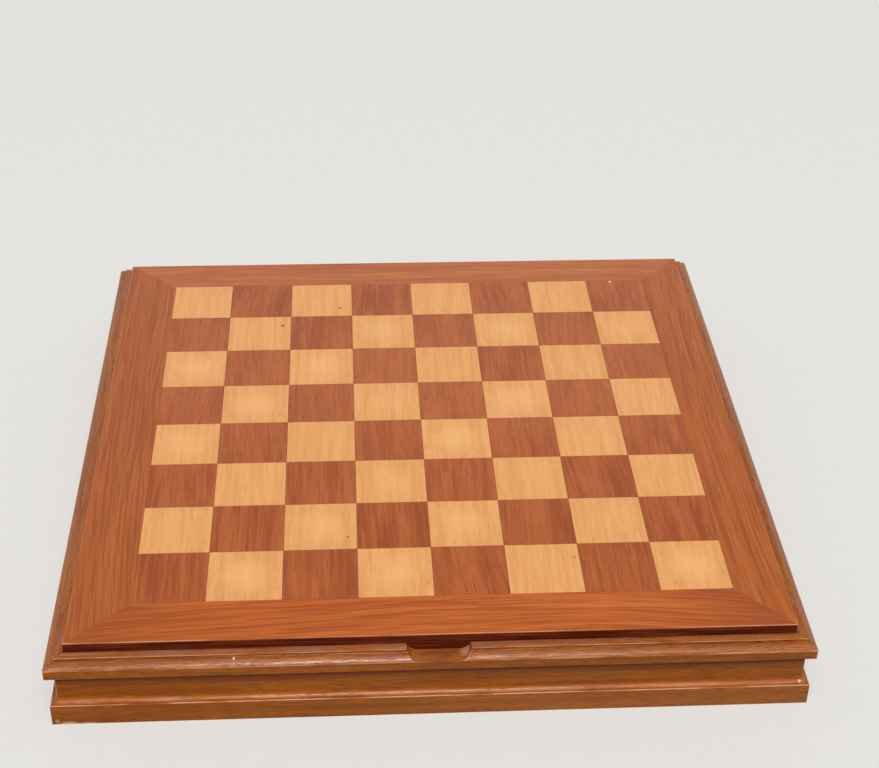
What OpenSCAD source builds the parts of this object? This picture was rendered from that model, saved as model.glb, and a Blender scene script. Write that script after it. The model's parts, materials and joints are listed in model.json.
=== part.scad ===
// Chess box: a lift-off inlaid board on a moulded case with one drawer in each flank.
// Millimetres. +Z is up, +X is right, the player sits at -Y.
// The origin is the centre of the box on the table.
// "Reach" is measured outward from the edge of the board, so a negative reach lies under it.

/* [Playing board] */
// Side of one square of the field
square = 45; // [40:0.5:52]
// How much narrower than a square the left-hand file is
left_file_trim = 2; // [0:0.1:6]
// How much narrower than a square the right-hand file is
right_file_trim = 1.6; // [0:0.1:6]
// Width of the border left of the field
border_left = 36; // [20:0.1:60]
// Width of the border right of the field
border_right = 31.6; // [20:0.1:60]
// Width of the border in front of the field
border_front = 33; // [20:0.1:60]
// Width of the border behind the field
border_back = 32.5; // [20:0.1:60]
// Thickness of the finished board
board_t = 11.5; // [9:0.1:13]
// Thickness of the face veneers
veneer_t = 0.9; // [0.5:0.1:1.5]
// Thickness of the backing veneer
backing_t = 0.6; // [0.4:0.1:1.2]
// Width of the solid lipping round the core
lipping_w = 4; // [2:0.5:10]
// Glue line between neighbouring squares
glue_line = 0.1; // [0.05:0.01:0.3]
// Gap between the board's edge and the cap
board_gap = 0.4; // [0.3:0.1:1]

/* [Cap moulding] */
// How far the board stands above the cap
board_proud = 6.1; // [4:0.1:8]
// Reach of the cap past the edge of the board
cap_reach = 11; // [9:0.5:16]
// Width of the flat land beside the board
land_w = 5.8; // [3:0.1:8]
// Height of the small step at the edge of the land
land_step = 1.5; // [0.5:0.1:2.5]
// Height of the whole cap moulding
cap_h = 11.2; // [9.5:0.1:14]
// Height of its upright face
fascia_h = 6.3; // [3:0.1:7]
// Radius of the ovolo between the step and the upright face
ovolo_r = 9; // [5:0.5:20]
// Width of the ledge that the board lies on
ledge_w = 6.5; // [5:0.5:12]

/* [Base moulding] */
// Height of the base moulding
base_h = 36.2; // [32:0.1:50]
// How far the plinth lies back from the cap's upright face
plinth_set = 1; // [0:0.5:4]
// Height of the upright plinth
plinth_h = 14.3; // [10:0.1:16]
// How far the upright face above it lies back from the plinth
face_set = 4; // [2.5:0.1:5]
// Width of the flat on top of the plinth, in front of the cove at the foot of that face
plinth_flat = 0.7; // [0.3:0.1:1.5]

/* [Finger scoop] */
// Width of its flat floor
scoop_w = 22; // [15:1:40]
// Radius of its round ends
scoop_r = 8.2; // [6:0.1:12]
// How far it lies right of the middle
scoop_x = 2.7; // [-10:0.1:10]

/* [Base panel] */
// Thickness of the base panel
panel_t = 3; // [2:0.5:4]
// Width of the rebate that holds it
panel_lap = 8; // [7:0.5:9]
// Height of its underside above the table
panel_lift = 1; // [0.8:0.1:3]
// Thickness of the baize under it
baize_t = 0.8; // [0.4:0.1:0.8]

/* [Case inside] */
// Thickness of the rail between the two drawers
centre_rail_t = 12; // [8:1:24]
// Thickness of the runners beside the drawers
runner_t = 8; // [6:0.5:15]
// How far a runner's kicker reaches over the side of a drawer
kicker_w = 6; // [4:0.5:12]
// Width of the rail above each drawer, which also stops it
top_rail_w = 30; // [15:1:60]
// Gap between the board and the rails under it
board_clear = 0.4; // [0.3:0.1:1]

/* [Drawers] */
// Gap at each side of a drawer
front_gap = 0.5; // [0.3:0.1:1]
// Running gap under, over and behind a drawer
run_gap = 0.4; // [0.3:0.05:0.8]
// Thickness of the sides
side_t = 6; // [5:0.5:8]
// How far a side is let into the front
side_lap = 8; // [4:0.5:9]
// Thickness of the back
back_t = 6; // [4:0.5:10]
// How far the back stands above the sides
back_rise = 2.4; // [1:0.1:3]
// Thickness of the bottom
bottom_t = 3; // [2:0.5:4]
// Depth of the groove that holds the bottom
groove_d = 3; // [2:0.5:4]
// Height of the lip under that groove
groove_lip = 1.6; // [1:0.1:4]
// Thickness of the partition between the two troughs
partition_t = 5; // [3:0.5:10]
// How far the partition ends below the top of the sides
partition_drop = 5; // [0:0.5:12]
// Thickness of the felt lining
felt_t = 0.8; // [0.4:0.1:2]
// Gap round the felt
felt_gap = 0.5; // [0.3:0.1:2]

/* [Knobs] */
// Diameter of the knob's head
knob_d = 10; // [8:0.5:14]
// Length from its seat to its tip
knob_l = 8.4; // [7:0.1:16]
// Diameter of its foot
knob_foot_d = 8; // [7:0.5:12]
// Thickness of its foot
knob_foot_t = 1.2; // [0.8:0.1:2]
// Diameter of its neck
knob_neck_d = 6; // [5.5:0.1:7]
// Thread diameter of the screw that holds it
knob_screw_d = 4; // [3:0.5:4]
// How far the screw enters the knob
knob_screw_in = 5; // [3:0.5:6]

/* [Screws] */
// Shank diameter of the base screws
screw_d = 3; // [2:0.5:3.5]
// Head diameter of the base screws
screw_head_d = 5.6; // [4:0.1:6.5]
// Length of the base screws
screw_l = 12; // [8:1:16]
// Base screws along each of the three rails
screws_per_rail = 5; // [2:1:8]
// Distance from the last screw to the inside of the case
screw_end = 22; // [15:1:60]

/* [Hidden] */

// Clearance of a screw in its hole
screw_fit = 0.05;
// How far a cutting tool runs on into the open
air = 1;
// Sides of the mouldings' long arcs, and of small round things
fine = 720;
round_fn = 64;

// Board
ranks = 8;
field_w = ranks * square - left_file_trim - right_file_trim;
field_d = ranks * square;
board_w = field_w + border_left + border_right;
board_d = field_d + border_front + border_back;
half_w = board_w / 2;
half_d = board_d / 2;
field_left = border_left - half_w;
field_front = border_front - half_d;
box_h = base_h + cap_h + board_proud;
board_z = box_h - board_t;
veneer_z = box_h - veneer_t;

// Mouldings
cap_top = base_h + cap_h;
plinth_reach = cap_reach - plinth_set;
face_reach = plinth_reach - face_set;
cove_r = face_set - plinth_flat;
face_foot = plinth_h + cove_r;
ovolo_top = [land_w, cap_top - land_step];
ovolo_foot = [cap_reach, base_h + fascia_h];
// How far down the ovolo's circle runs on behind the upright face
ovolo_lap = fascia_h / 4;

// Case inside
inner_w = half_w - ledge_w;
inner_d = half_d - ledge_w;
panel_top = panel_lift + panel_t;
rail_top = board_z - board_clear;
opening_d = inner_d - runner_t;
kicker_d = opening_d - kicker_w;
top_rail_in = inner_w - top_rail_w;

// Drawers, for the one on the right
drawer_d = opening_d - front_gap;
inside_d = drawer_d - side_t;
rise_d = min(inside_d, kicker_d - front_gap);
drawer_z = panel_top + run_gap;
drawer_top = base_h - run_gap;
drawer_end = centre_rail_t / 2 + run_gap;
back_in = drawer_end + back_t;
bottom_z = drawer_z + groove_lip;
floor_z = bottom_z + bottom_t;
partition_x = (back_in + inner_w) / 2;

// Knob, in the middle of the upright face
knob_seat_x = half_w + face_reach;
knob_z = (face_foot + base_h) / 2;
knob_head_t = knob_d / 2;
knob_screw_head_d = 1.75 * knob_screw_d;
knob_screw_head_t = 0.5 * knob_screw_d;

// Base screws
screw_head_t = (screw_head_d - screw_d) / 2;
screw_rail_d = inner_d + panel_lap / 2;
front_screw_places = spread(2 * (inner_w - screw_end), screws_per_rail);
centre_screw_places = spread(2 * (inner_d - screw_end), screws_per_rail);

// Colours
moulding_colour = [0.55, 0.32, 0.19];
border_colour = [0.78, 0.43, 0.22];
light_colour = [0.91, 0.68, 0.42];
dark_colour = [0.64, 0.36, 0.23];
lipping_colour = [0.34, 0.14, 0.07];
inside_colour = [0.74, 0.58, 0.40];
ply_colour = [0.80, 0.66, 0.48];
baize_colour = [0.10, 0.33, 0.20];
brass_colour = [0.78, 0.60, 0.27];
steel_colour = [0.66, 0.66, 0.64];

// Places of count things spread evenly over a span about 0
function spread(span, count) = [for (i = [0:count - 1]) span * (i / (count - 1) - 1 / 2)];

// What lies on one side is modelled on the right, and turned about Z to its own side
function turn(side) = side == "back" ? 90 : side == "left" ? 180 : side == "front" ? 270 : 0;
function across(side) = side == "front" || side == "back";

// Centre of the circle of radius r through a and b, right of the way from a to b
function arc_centre(a, b, r) =
    let (
        chord = b - a,
        to_centre = sqrt(r * r - chord * chord / 4) / norm(chord)
    )
    (a + b) / 2 + to_centre * [chord.y, -chord.x];

// ---------- Profiles: x is the reach, y is the height ----------

module cap_profile() {
    lap_z = ovolo_foot.y - ovolo_lap;
    polygon([
        [-ledge_w, base_h],
        [cap_reach, base_h],
        [cap_reach, lap_z],
        [land_w, lap_z],
        [land_w, cap_top],
        [board_gap, cap_top],
        [board_gap, board_z],
        [-ledge_w, board_z]
    ]);
    intersection() {
        translate([land_w, lap_z])
            square([cap_reach - land_w, cap_top - lap_z]);
        translate(arc_centre(ovolo_top, ovolo_foot, ovolo_r))
            circle(r = ovolo_r, $fn = fine);
    }
}

module base_profile() {
    polygon([
        [-ledge_w, 0],
        [plinth_reach, 0],
        [plinth_reach, plinth_h],
        [face_reach, plinth_h],
        [face_reach, base_h],
        [-ledge_w, base_h]
    ]);
    difference() {
        translate([face_reach, plinth_h])
            square(cove_r);
        translate([face_reach + cove_r, face_foot])
            circle(r = cove_r, $fn = round_fn);
    }
}

module rebated_base_profile() {
    difference() {
        base_profile();
        translate([-ledge_w - air, -air])
            square([panel_lap + air, panel_top + air]);
    }
}

// ---------- Placing ----------

module on_side(side) {
    rotate([0, 0, turn(side)])
        children();
}

// Half the board at right angles to one of its edges, and along that edge
function half_out(side) = across(side) ? half_d : half_w;
function half_along(side) = across(side) ? half_w : half_d;

// A profile run along the right-hand edge of a board that is 2 * out wide
module run_of(out, half_length) {
    translate([out, 0, 0])
        rotate([90, 0, 0])
            linear_extrude(height = 2 * half_length, center = true)
                children();
}

// The ground that a rail covers between two reaches, cut to a mitre at both ends
module mitred_plan(side, reach_in, reach_out) {
    out = half_out(side);
    along = half_along(side);
    on_side(side)
        polygon([
            [out + reach_in, -along - reach_in],
            [out + reach_out, -along - reach_out],
            [out + reach_out, along + reach_out],
            [out + reach_in, along + reach_in]
        ]);
}

module mitred_rail(side) {
    intersection() {
        on_side(side)
            run_of(half_out(side), half_along(side) + cap_reach)
                children();
        linear_extrude(height = box_h)
            mitred_plan(side, -ledge_w, cap_reach);
    }
}

// ---------- Case ----------

// Cuts through the rim in front of the board, down to the ledge that the board lies on
module scoop_tool() {
    length = cap_reach + 2 * air;
    translate([scoop_x, air - half_d, board_z]) {
        for (end = [-1, 1])
            translate([end * scoop_w / 2, 0, scoop_r])
                rotate([90, 0, 0])
                    cylinder(r = scoop_r, h = length, $fn = fine);
        translate([-scoop_w / 2, -length, 0])
            cube([scoop_w, length, 2 * scoop_r]);
    }
}

module cap_front() {
    color(moulding_colour)
        difference() {
            mitred_rail("front")
                cap_profile();
            scoop_tool();
        }
}

module cap_rail(side) {
    color(moulding_colour)
        mitred_rail(side)
            cap_profile();
}

module base_rail(side) {
    color(moulding_colour)
        difference() {
            mitred_rail(side)
                rebated_base_profile();
            screw_holes();
        }
}

// Short length of base moulding between a front or back rail and a drawer
module corner_piece(side, end) {
    color(moulding_colour)
        intersection() {
            mitred_rail(side)
                base_profile();
            translate([-half_w - cap_reach, end > 0 ? opening_d : -half_d - cap_reach, 0])
                cube([board_w + 2 * cap_reach, half_d + cap_reach - opening_d, base_h]);
        }
}

// A row of countersunk screws in the front rail, the back rail and the centre rail
module at_base_screws() {
    for (end = [-1, 1])
        for (x = front_screw_places)
            translate([x, end * screw_rail_d, panel_lift])
                children();
    for (y = centre_screw_places)
        translate([0, y, panel_lift])
            children();
}

// Head down, with the flat of its head at z = 0
module base_screws() {
    color(steel_colour)
        at_base_screws() {
            cylinder(d = screw_d, h = screw_l, $fn = round_fn);
            cylinder(d1 = screw_head_d, d2 = screw_d, h = screw_head_t, $fn = round_fn);
        }
}

module screw_holes() {
    hole_d = screw_d + 2 * screw_fit;
    at_base_screws() {
        translate([0, 0, -air])
            cylinder(d = hole_d, h = screw_l + screw_fit + air, $fn = round_fn);
        cylinder(
            d1 = screw_head_d + 2 * screw_fit,
            d2 = hole_d,
            h = screw_head_t,
            $fn = round_fn
        );
    }
}

// The ground between the front and back rebates and the two drawer fronts
module panel_plan() {
    square([2 * (inner_w - run_gap), 2 * (inner_d + panel_lap)], center = true);
}

module base_panel() {
    color(ply_colour)
        difference() {
            translate([0, 0, panel_lift])
                linear_extrude(height = panel_t)
                    panel_plan();
            screw_holes();
        }
}

module base_baize() {
    color(baize_colour)
        translate([0, 0, panel_lift - baize_t])
            linear_extrude(height = baize_t)
                panel_plan();
}

module centre_rail() {
    color(inside_colour)
        difference() {
            translate([-centre_rail_t / 2, -inner_d, panel_top])
                cube([centre_rail_t, 2 * inner_d, rail_top - panel_top]);
            screw_holes();
        }
}

// Guides one side of a drawer, and its kicker keeps the drawer from tipping
module runner(side, end) {
    color(inside_colour)
        on_side(side)
            translate([centre_rail_t / 2, 0, 0])
                rotate([90, 0, 90])
                    linear_extrude(height = inner_w - centre_rail_t / 2)
                        polygon([
                            [end * opening_d, panel_top],
                            [end * inner_d, panel_top],
                            [end * inner_d, rail_top],
                            [end * kicker_d, rail_top],
                            [end * kicker_d, base_h],
                            [end * opening_d, base_h]
                        ]);
}

module top_rail(side) {
    color(inside_colour)
        on_side(side)
            translate([top_rail_in, -kicker_d, base_h])
                cube([top_rail_w, 2 * kicker_d, rail_top - base_h]);
}

// ---------- Board ----------

module board_core() {
    color(ply_colour)
        translate([-half_w + lipping_w, -half_d + lipping_w, board_z + backing_t])
            cube([
                board_w - 2 * lipping_w,
                board_d - 2 * lipping_w,
                board_t - veneer_t - backing_t
            ]);
}

module board_backing() {
    color(dark_colour)
        translate([-half_w + lipping_w, -half_d + lipping_w, board_z])
            cube([board_w - 2 * lipping_w, board_d - 2 * lipping_w, backing_t]);
}

module lipping(side) {
    color(lipping_colour)
        translate([0, 0, board_z])
            linear_extrude(height = board_t - veneer_t)
                mitred_plan(side, -lipping_w, 0);
}

// The two corners at the ends of a border, as signs along X and Y
function border_ends(side) =
    side == "front" ? [[-1, -1], [1, -1]] :
    side == "back" ? [[1, 1], [-1, 1]] :
    side == "left" ? [[-1, 1], [-1, -1]] :
    [[1, -1], [1, 1]];
function board_corner(end) = [end.x * half_w, end.y * half_d];
function field_corner(end) =
    [field_left + field_w * (end.x + 1) / 2, field_front + field_d * (end.y + 1) / 2];

// A border veneer runs from the corners of the board to the corners of the field
module border_veneer(side) {
    ends = border_ends(side);
    color(border_colour)
        translate([0, 0, veneer_z])
            linear_extrude(height = veneer_t)
                polygon([
                    board_corner(ends[0]),
                    board_corner(ends[1]),
                    field_corner(ends[1]),
                    field_corner(ends[0])
                ]);
}

// Left edge of a file: the two outer files are trimmed where they meet the border
function file_edge(file) =
    field_left + max(0, min(file * square - left_file_trim, field_w));

// The squares whose file and rank add up to an odd or even number
module squares(odd) {
    for (file = [0:ranks - 1])
        for (rank = [0:ranks - 1])
            if ((file + rank) % 2 == odd)
                translate([
                    file_edge(file) + glue_line / 2,
                    field_front + rank * square + glue_line / 2,
                    veneer_z
                ])
                    cube([
                        file_edge(file + 1) - file_edge(file) - glue_line,
                        square - glue_line,
                        veneer_t
                    ]);
}

module light_squares() {
    color(light_colour)
        squares(1);
}

module dark_squares() {
    color(dark_colour)
        squares(0);
}

// ---------- Drawers ----------

module drawer_front(side) {
    color(moulding_colour)
        on_side(side)
            difference() {
                intersection() {
                    run_of(half_w, drawer_d)
                        base_profile();
                    translate([0, -half_d, panel_lift])
                        cube([half_w + cap_reach, board_d, drawer_top - panel_lift]);
                }
                for (end = [-1, 1])
                    drawer_side_blank(end, air);
                bottom_blank();
                translate([inner_w - air, 0, knob_z])
                    rotate([0, 90, 0])
                        cylinder(
                            d = knob_screw_d + 2 * screw_fit,
                            h = cap_reach + ledge_w,
                            $fn = round_fn
                        );
            }
}

// A side without its groove; spare is air added outside it and above it for cutting
module drawer_side_blank(end, spare = 0) {
    width = side_t + spare;
    translate([drawer_end, end > 0 ? inside_d : -inside_d - width, drawer_z])
        cube([inner_w + side_lap - drawer_end, width, drawer_top - drawer_z + spare]);
}

// The bottom, let into the sides and the front, with its rear edge under the back
module bottom_blank() {
    half = inside_d + groove_d;
    translate([drawer_end, -half, bottom_z])
        cube([inner_w + groove_d - drawer_end, 2 * half, bottom_t]);
}

module drawer_side(side, end) {
    turned = side == "left" ? -end : end;
    color(inside_colour)
        on_side(side)
            difference() {
                drawer_side_blank(turned);
                bottom_blank();
            }
}

module drawer_back(side) {
    color(inside_colour)
        on_side(side) {
            translate([drawer_end, -inside_d, floor_z])
                cube([back_t, 2 * inside_d, drawer_top - floor_z]);
            translate([drawer_end, -rise_d, floor_z])
                cube([back_t, 2 * rise_d, drawer_top - floor_z + back_rise]);
        }
}

module drawer_bottom(side) {
    color(ply_colour)
        on_side(side)
            bottom_blank();
}

module drawer_partition(side) {
    color(inside_colour)
        on_side(side)
            translate([partition_x - partition_t / 2, -inside_d, floor_z])
                cube([partition_t, 2 * inside_d, drawer_top - floor_z - partition_drop]);
}

// One piece of felt in each trough
module drawer_felt(side) {
    trough = partition_x - partition_t / 2 - back_in;
    color(baize_colour)
        on_side(side)
            for (x = [back_in, partition_x + partition_t / 2])
                translate([x + felt_gap, -inside_d + felt_gap, floor_z])
                    cube([trough - 2 * felt_gap, 2 * (inside_d - felt_gap), felt_t]);
}

// Half section of the knob: x is the radius, y runs from its seat to its tip
module knob_profile() {
    head_z = knob_l - knob_head_t;
    square([knob_foot_d / 2, knob_foot_t]);
    square([knob_neck_d / 2, knob_l - knob_head_t / 2]);
    intersection() {
        translate([0, head_z])
            square([knob_d / 2, knob_head_t]);
        translate([0, knob_l - knob_d / 2])
            circle(d = knob_d, $fn = round_fn);
    }
}

module drawer_knob(side) {
    color(brass_colour)
        on_side(side)
            translate([knob_seat_x, 0, knob_z])
                rotate([0, 90, 0])
                    difference() {
                        rotate_extrude($fn = round_fn)
                            knob_profile();
                        translate([0, 0, -air])
                            cylinder(
                                d = knob_screw_d + 2 * screw_fit,
                                h = knob_screw_in + screw_fit + air,
                                $fn = round_fn
                            );
                    }
}

module drawer_knob_screw(side) {
    color(steel_colour)
        on_side(side)
            translate([inner_w, 0, knob_z])
                rotate([0, 90, 0]) {
                    cylinder(
                        d = knob_screw_d,
                        h = knob_seat_x - inner_w + knob_screw_in,
                        $fn = round_fn
                    );
                    translate([0, 0, -knob_screw_head_t])
                        cylinder(d = knob_screw_head_d, h = knob_screw_head_t, $fn = round_fn);
                }
}

// ---------- Nodes ----------

cap_front();
cap_rail("back");  // cap_back
cap_rail("left");  // cap_left
cap_rail("right");  // cap_right
base_rail("front");  // base_front
base_rail("back");  // base_back
corner_piece("left", -1);  // corner_front_left
corner_piece("right", -1);  // corner_front_right
corner_piece("left", 1);  // corner_back_left
corner_piece("right", 1);  // corner_back_right
base_panel();
base_baize();
base_screws();
centre_rail();
runner("left", 1);  // runner_front_left
runner("right", -1);  // runner_front_right
runner("left", -1);  // runner_back_left
runner("right", 1);  // runner_back_right
top_rail("left");  // top_rail_left
top_rail("right");  // top_rail_right
board_core();
board_backing();
lipping("front");  // lipping_front
lipping("back");  // lipping_back
lipping("left");  // lipping_left
lipping("right");  // lipping_right
border_veneer("front");  // border_front_veneer
border_veneer("back");  // border_back_veneer
border_veneer("left");  // border_left_veneer
border_veneer("right");  // border_right_veneer
light_squares();
dark_squares();
drawer_front("left");  // drawer_left_front
drawer_side("left", -1);  // drawer_left_near_side
drawer_side("left", 1);  // drawer_left_far_side
drawer_back("left");  // drawer_left_back
drawer_bottom("left");  // drawer_left_bottom
drawer_partition("left");  // drawer_left_partition
drawer_felt("left");  // drawer_left_felt
drawer_knob("left");  // drawer_left_knob
drawer_knob_screw("left");  // drawer_left_knob_screw
drawer_front("right");  // drawer_right_front
drawer_side("right", -1);  // drawer_right_near_side
drawer_side("right", 1);  // drawer_right_far_side
drawer_back("right");  // drawer_right_back
drawer_bottom("right");  // drawer_right_bottom
drawer_partition("right");  // drawer_right_partition
drawer_felt("right");  // drawer_right_felt
drawer_knob("right");  // drawer_right_knob
drawer_knob_screw("right");  // drawer_right_knob_screw
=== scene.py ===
"""Finish of the chess box: eased edges, woods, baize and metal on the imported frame, and its stage."""

import json
import math

import bmesh
import bpy
from mathutils import Matrix, Vector

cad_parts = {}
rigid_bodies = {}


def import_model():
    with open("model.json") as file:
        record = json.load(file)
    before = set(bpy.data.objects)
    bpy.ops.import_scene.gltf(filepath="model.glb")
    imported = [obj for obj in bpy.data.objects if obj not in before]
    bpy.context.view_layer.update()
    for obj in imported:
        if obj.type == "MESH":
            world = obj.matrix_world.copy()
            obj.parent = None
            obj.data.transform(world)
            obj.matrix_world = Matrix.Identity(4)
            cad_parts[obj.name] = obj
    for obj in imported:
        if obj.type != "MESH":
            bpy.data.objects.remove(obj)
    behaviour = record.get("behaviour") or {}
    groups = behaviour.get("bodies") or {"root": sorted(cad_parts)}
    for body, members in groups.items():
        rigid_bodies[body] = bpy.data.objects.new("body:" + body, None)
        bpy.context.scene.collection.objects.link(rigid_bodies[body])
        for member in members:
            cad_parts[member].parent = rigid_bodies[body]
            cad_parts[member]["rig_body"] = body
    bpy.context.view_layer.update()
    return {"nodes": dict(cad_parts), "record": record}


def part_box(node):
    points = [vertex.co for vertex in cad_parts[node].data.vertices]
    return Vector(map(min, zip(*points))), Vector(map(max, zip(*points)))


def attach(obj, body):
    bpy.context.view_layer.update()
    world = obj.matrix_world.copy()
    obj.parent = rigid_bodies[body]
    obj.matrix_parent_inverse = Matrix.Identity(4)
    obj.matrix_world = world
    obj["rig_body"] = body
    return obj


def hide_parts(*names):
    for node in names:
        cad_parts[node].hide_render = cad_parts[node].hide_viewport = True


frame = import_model()

MM = 0.001
SIDES = ("front", "back", "left", "right")
ENDS = ("front", "back")
FLANKS = ("left", "right")
ALONG = {"front": "x", "back": "x", "left": "y", "right": "y"}
RANKS = 8

# ---------------------------------------------------------------------------- view
CAMERA_PLACE = (-46.2 * MM, -937.25 * MM, 720.0 * MM)
CAMERA_DOWN = 34.163  # degrees below the horizon
CAMERA_RIGHT = 3.691  # degrees from +Y towards +X
CAMERA_ROLL = 1.0  # degrees, the right-hand side up
CAMERA_LENS = 69.44  # mm
SENSOR_WIDTH = 36.0  # mm
CAMERA_SEES_TO = 100  # metres

# --------------------------------------------------------------------------- edges
WELD = 0.001 * MM
FLAT_ANGLE = math.radians(0.5)
SHARP_ANGLE = math.radians(28)
SMOOTH_ANGLE = math.radians(35)
BEVEL_STEPS = 2

# A place this near to the plane of a mitre lies in it, and this near to it an eased edge shows no wear
MITRE_SLACK = 0.02 * MM
MITRE_WEAR_SLACK = 0.3 * MM

# How wide the edges are eased; the widest are the upright corners of the mouldings, at a mitre
CORNER_WIDTH = 0.8 * MM
CAP_EASE = 0.5 * MM
BASE_EASE = 0.45 * MM
BORDER_EASE = 0.35 * MM
INSIDE_EASE = 0.25 * MM
LIPPING_EASE = 0.2 * MM
SQUARE_EASE = 0.05 * MM
MITRE_EASE = 0.12 * MM
LIPPING_MITRE_EASE = 0.1 * MM

# Share of its width that an edge at the finger scoop keeps
SCOOP_EASE = 0.1

# No edge is eased over more than this share of the shortest edge that meets it at an angle, which is one
# whose direction has a smaller cosine with its own than STRAIGHT_ON
ROOM_SHARE = 0.45
STRAIGHT_ON = 0.8


# ------------------------------------------------------------------ sizes of frame
def field():
    """(front left corner, side of a square, top) of the field, as if its outer files were whole."""
    low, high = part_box("light_squares")
    side = (high.y - low.y) / RANKS
    mounts = {mount["name"]: mount for mount in frame["record"]["mounts"]}
    middle = Vector(mounts["playing_face"]["pos_m"])
    before = math.floor((middle.x - low.x) / side) + 0.5
    corner = middle - Vector((before * side, before * side, 0.0))
    return corner, side, high.z


FIELD_CORNER, SQUARE, BOARD_TOP = field()
BOARD_HALF_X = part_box("border_front_veneer")[1].x
BOARD_HALF_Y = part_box("border_back_veneer")[1].y

# The rounds at the sides of the finger scoop lie within this distance of its opening
SCOOP_ROUND = 12 * MM


def scoop():
    """Where the finger scoop begins and ends along the front, with the rounds of its sides."""
    openings = {opening["name"]: opening for opening in frame["record"]["physics"]["openings"]}
    low, high = openings["finger_scoop"]["box_m"]
    return low[0] - SCOOP_ROUND, high[0] + SCOOP_ROUND


SCOOP = scoop()

# Stretches of height on the mouldings: the step of the cap, its ovolo, the foot of the cove and the
# flat on top of the plinth; and over how much height what is painted on them fades out
CAP_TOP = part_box("cap_front")[1].z
CAP_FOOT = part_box("base_front")[1].z
STEP_FOOT = CAP_TOP - 1.5 * MM
STEP = (STEP_FOOT - 0.1 * MM, STEP_FOOT + 0.3 * MM)
OVOLO = (CAP_TOP - 5.2 * MM, CAP_TOP - 3.7 * MM)
COVE = (14.2 * MM, 15.8 * MM)
FLAT = (COVE[0] - 0.1 * MM, COVE[0] + 0.2 * MM)
SOFT = 0.5 * MM
FLAT_SOFT = 0.1 * MM

# Heights from and to which a look changes: to that of the land, of the round, of the cap, of the cap's
# underside, of the painted shade in the hollow under it, and above the plinth
TO_LAND = (STEP_FOOT, CAP_TOP - 0.3 * MM)
TO_ROUND = (OVOLO[0], OVOLO[0] + 0.8 * MM)
TO_CAP = (CAP_FOOT, CAP_FOOT + 0.2 * MM)
TO_UNDERSIDE = (CAP_FOOT - 0.1 * MM, CAP_FOOT + 0.1 * MM)
TO_HOLLOW = (CAP_FOOT - 12.5 * MM, CAP_FOOT - 4.5 * MM)
ABOVE_PLINTH = (COVE[0], COVE[0] + 2 * MM)

# Distances from the board: how far out the plinth reaches, where the painted shade in the crease of its
# flat ends, and where the pale line of its front edge, partly wear and partly a painted highlight,
# begins
PLINTH_REACH = -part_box("base_front")[0].y - BOARD_HALF_Y
FLAT_SHADE = (PLINTH_REACH - 0.80 * MM, PLINTH_REACH - 0.65 * MM)
FLAT_WORN_AND_HIGHLIGHT = (PLINTH_REACH - 0.65 * MM, PLINTH_REACH - 0.40 * MM)

# Knots and dashes in the light squares, in mm: across, to the back, half width, half length, depth
SPECKS = (
    (-94.2, 123.1, 2.0, 1.7, 0.95),
    (-51.9, 146.3, 1.8, 1.6, 0.80),
    (-48.8, -123.0, 0.9, 1.3, 0.90),
    (89.3, -147.0, 1.0, 1.3, 0.55),
    (147.5, -173.5, 1.2, 1.1, 0.35),
    (17.0, -130.6, 0.9, 1.2, 0.35),
    (-1.4, -168.3, 1.2, 0.9, 0.40),
    (-137.4, -92.6, 1.3, 0.8, 0.40),
    (13.7, -14.4, 1.9, 1.4, 0.30),
    (-0.9, 23.3, 0.8, 1.2, 0.40),
    (70.4, 19.6, 0.9, 1.2, 0.22),
    (-35.4, -143.7, 0.6, 7.5, 0.24),
    (-24.7, -65.2, 0.6, 7.0, 0.26),
    (39.0, -114.9, 0.5, 5.0, 0.26),
    (38.1, -38.5, 0.7, 3.5, 0.22),
    (-144.7, -33.9, 0.7, 3.0, 0.26),
)


def colour(red, green, blue):
    """A colour written as it shows on a screen, 0 to 255, as Blender wants it."""
    parts = [part / 255 for part in (red, green, blue)]
    return (*(p / 12.92 if p <= 0.04045 else ((p + 0.055) / 1.055) ** 2.4 for p in parts), 1.0)


# ------------------------------------------------------------------------- colours
MOULDING_DARK = colour(148, 74, 6)
MOULDING_PALE = colour(176, 98, 18)
MOULDING_FLECK = colour(198, 126, 70)
MOULDING_PORE = colour(96, 38, 0)
# painted shade under the cap
MOULDING_SHADE = colour(94, 30, 2)
# painted shade in the creases and beside the board, and the dark of the mitre joints
MOULDING_JOINT_AND_SHADE = colour(74, 24, 0)
# dust, and a painted sheen on faces that look up
MOULDING_DUST_AND_SHEEN = colour(182, 124, 108)
# rubbed wood, partly painted highlights on the rounds
MOULDING_RUBBED_AND_HIGHLIGHT = colour(206, 140, 100)
# worn edges, partly painted highlights
MOULDING_WORN_AND_HIGHLIGHT = colour(238, 176, 132)
MOULDING_CHIP = colour(236, 200, 150)
SCRAPE = colour(220, 150, 112)
# painted shade in the finger scoop, and beside it a pale patch, partly dust and partly a painted
# highlight
SCOOP_SHADE = colour(112, 62, 44)
SCOOP_DUST_AND_HIGHLIGHT = colour(190, 142, 116)
CRUMB = colour(255, 214, 180)
DARK_PALE = colour(184, 96, 40)
DARK_STRIPE = colour(156, 70, 18)
DARK_FIBRE = colour(118, 46, 12)
DARK_FADED = colour(192, 106, 54)
LIGHT_DARK = colour(224, 154, 87)
LIGHT_PALE = colour(237, 170, 103)
LIGHT_MIDDLE = colour(246, 185, 118)
LIGHT_DASH = colour(200, 136, 74)
LIGHT_SOILED = colour(200, 140, 80)
JOINT = colour(92, 44, 20)
SPECK = colour(96, 46, 18)
BORDER_WORN = colour(240, 170, 124)
BORDER_END = colour(160, 78, 26)
LIPPING_DARK = colour(74, 18, 2)
LIPPING_PALE = colour(122, 54, 26)
INSIDE_DARK = colour(196, 150, 104)
INSIDE_PALE = colour(214, 172, 126)
INSIDE_FIBRE = colour(180, 132, 88)
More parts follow.
